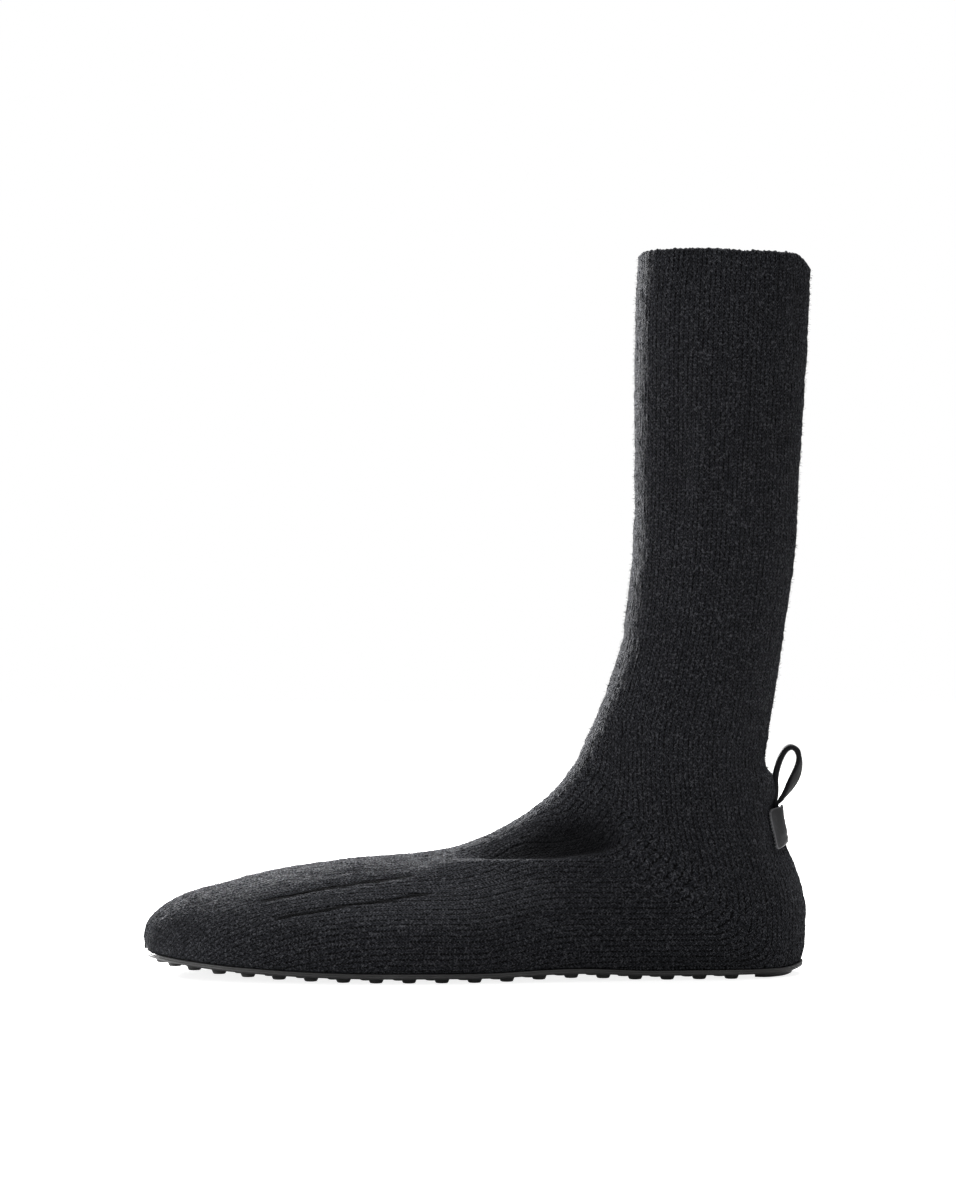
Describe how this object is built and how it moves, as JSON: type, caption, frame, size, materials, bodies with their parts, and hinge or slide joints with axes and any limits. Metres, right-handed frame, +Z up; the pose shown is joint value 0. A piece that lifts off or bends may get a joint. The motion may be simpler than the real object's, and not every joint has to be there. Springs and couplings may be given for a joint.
{
  "type": "knit sock boot",
  "caption": "Left pull-on sock boot: ribbed knit tube on a thin studded rubber sole, with a leather tab and a pull loop at the heel.",
  "frame": {"origin": "on the floor, under the middle of the whole boot's box", "axes": "+Z up, toe towards -X, heel towards +X, outer side of the foot towards -Y"},
  "size_m": [0.2602, 0.0922, 0.2793],
  "materials": {
    "knit": "brushed wool rib knit, matt with a fine haze of fibres",
    "sole_rubber": "moulded, satin",
    "footbed": "matt lining leather",
    "heel_leather": "smooth, glossy",
    "strap_leather": "smooth, satin"
  },
  "bodies": {
    "root": {"upper": "knit", "outsole": "sole_rubber", "insole": "footbed", "heel_tab": "heel_leather", "pull_loop": "strap_leather"}
  },
  "joints": []
}
